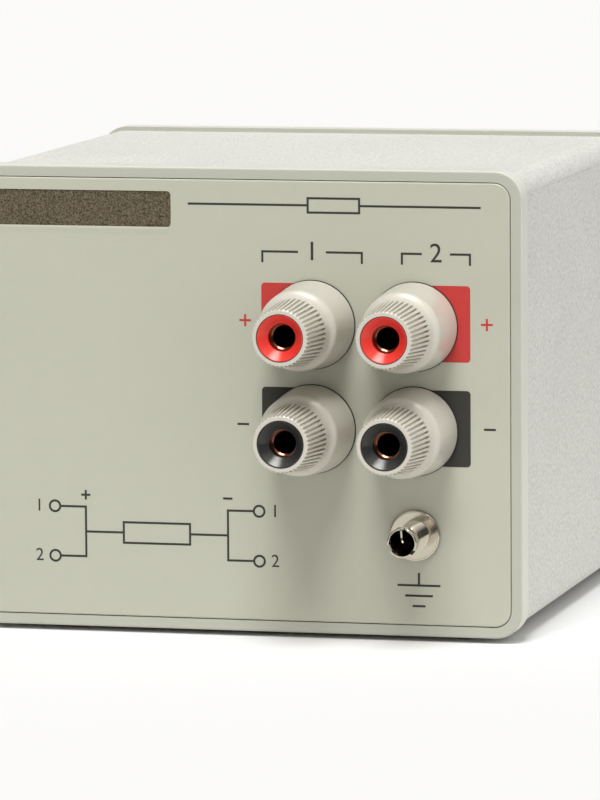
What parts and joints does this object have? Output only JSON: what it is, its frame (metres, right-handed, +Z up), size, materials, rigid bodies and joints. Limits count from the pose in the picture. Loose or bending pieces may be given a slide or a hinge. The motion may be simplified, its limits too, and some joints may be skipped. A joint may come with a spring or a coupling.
{
  "type": "standard resistor",
  "caption": "Bench resistance standard: compact painted metal case with ribbed screw-down binding posts, a chassis ground jack and wire-wound resistors on a board inside.",
  "frame": {"origin": "on the surface the feet stand on, at the middle of the overall width and depth", "axes": "+Z up, -Y out of the front panel, +X to the right seen from the front"},
  "size_m": [0.105, 0.1248, 0.086],
  "materials": {
    "smooth_paint": "smooth satin light grey paint",
    "panel_paint": "smooth satin light grey paint",
    "textured_paint": "fine textured light grey paint",
    "badge_metal": "bronze-brown anodised, fine grained",
    "zinc_steel": "zinc plated",
    "rubber": "matt black",
    "insulator": "black nylon",
    "nickel": "nickel plated",
    "copper": "gold-flashed copper",
    "knob_plastic": "warm light grey moulded plastic",
    "red_plastic": "glossy red moulded plastic",
    "black_plastic": "glossy black moulded plastic",
    "board": "green glass-epoxy laminate",
    "spool": "unglazed ceramic",
    "winding": "enamelled wire",
    "trim_body": "lacquered film resistor",
    "lead_sleeve": "insulated wire"
  },
  "bodies": {
    "case": {"front_bezel": "smooth_paint", "rear_bezel": "smooth_paint", "front_panel": "panel_paint", "rear_panel": "panel_paint", "badge_plate": "badge_metal", "top_cover": "textured_paint", "bottom_cover": "textured_paint", "corner_rods": "zinc_steel", "rear_screws": "zinc_steel", "panel_studs": "zinc_steel", "panel_nuts": "zinc_steel", "rubber_feet": "rubber", "post_bushings": "insulator", "post_insulators": "insulator", "post_washers": "nickel", "post_lugs": "nickel", "post_nuts": "nickel", "ground_jack": "nickel", "ground_washer": "zinc_steel", "ground_lug": "nickel", "ground_nut": "zinc_steel", "circuit_board": "board", "board_standoffs": "zinc_steel", "board_screws": "zinc_steel", "board_terminals": "nickel", "resistor_spools": "spool", "resistor_windings": "winding", "trim_resistors": "trim_body", "hookup_leads": "lead_sleeve", "stud_current_hi": "copper", "stud_current_lo": "copper", "stud_sense_hi": "copper", "stud_sense_lo": "copper"},
    "slider_current_hi": {"collar_current_hi": "red_plastic"},
    "knob_current_hi": {"knob_current_hi": "knob_plastic", "bush_current_hi": "copper"},
    "slider_current_lo": {"collar_current_lo": "black_plastic"},
    "knob_current_lo": {"knob_current_lo": "knob_plastic", "bush_current_lo": "copper"},
    "slider_sense_hi": {"collar_sense_hi": "red_plastic"},
    "knob_sense_hi": {"knob_sense_hi": "knob_plastic", "bush_sense_hi": "copper"},
    "slider_sense_lo": {"collar_sense_lo": "black_plastic"},
    "knob_sense_lo": {"knob_sense_lo": "knob_plastic", "bush_sense_lo": "copper"}
  },
  "joints": [
    {"name": "travel_current_hi", "type": "slide", "parent": "case", "child": "slider_current_hi", "axis": [0, -1, 0], "range_m": [0, 0.004]},
    {"name": "turn_current_hi", "type": "hinge", "parent": "slider_current_hi", "child": "knob_current_hi", "pos_m": [0.0135, -0.0387, 0.05765], "axis": [0, -1, 0], "range_deg": [0, 1440]},
    {"name": "travel_current_lo", "type": "slide", "parent": "case", "child": "slider_current_lo", "axis": [0, -1, 0], "range_m": [0, 0.004]},
    {"name": "turn_current_lo", "type": "hinge", "parent": "slider_current_lo", "child": "knob_current_lo", "pos_m": [0.0135, -0.0387, 0.0386], "axis": [0, -1, 0], "range_deg": [0, 1440]},
    {"name": "travel_sense_hi", "type": "slide", "parent": "case", "child": "slider_sense_hi", "axis": [0, -1, 0], "range_m": [0, 0.004]},
    {"name": "turn_sense_hi", "type": "hinge", "parent": "slider_sense_hi", "child": "knob_sense_hi", "pos_m": [0.03255, -0.0387, 0.05765], "axis": [0, -1, 0], "range_deg": [0, 1440]},
    {"name": "travel_sense_lo", "type": "slide", "parent": "case", "child": "slider_sense_lo", "axis": [0, -1, 0], "range_m": [0, 0.004]},
    {"name": "turn_sense_lo", "type": "hinge", "parent": "slider_sense_lo", "child": "knob_sense_lo", "pos_m": [0.03255, -0.0387, 0.0386], "axis": [0, -1, 0], "range_deg": [0, 1440]}
  ],
  "couplings": [
    {"joint": "travel_current_hi", "follows": "turn_current_hi", "m_per_rad": 0.000159},
    {"joint": "travel_current_lo", "follows": "turn_current_lo", "m_per_rad": 0.000159},
    {"joint": "travel_sense_hi", "follows": "turn_sense_hi", "m_per_rad": 0.000159},
    {"joint": "travel_sense_lo", "follows": "turn_sense_lo", "m_per_rad": 0.000159}
  ]
}
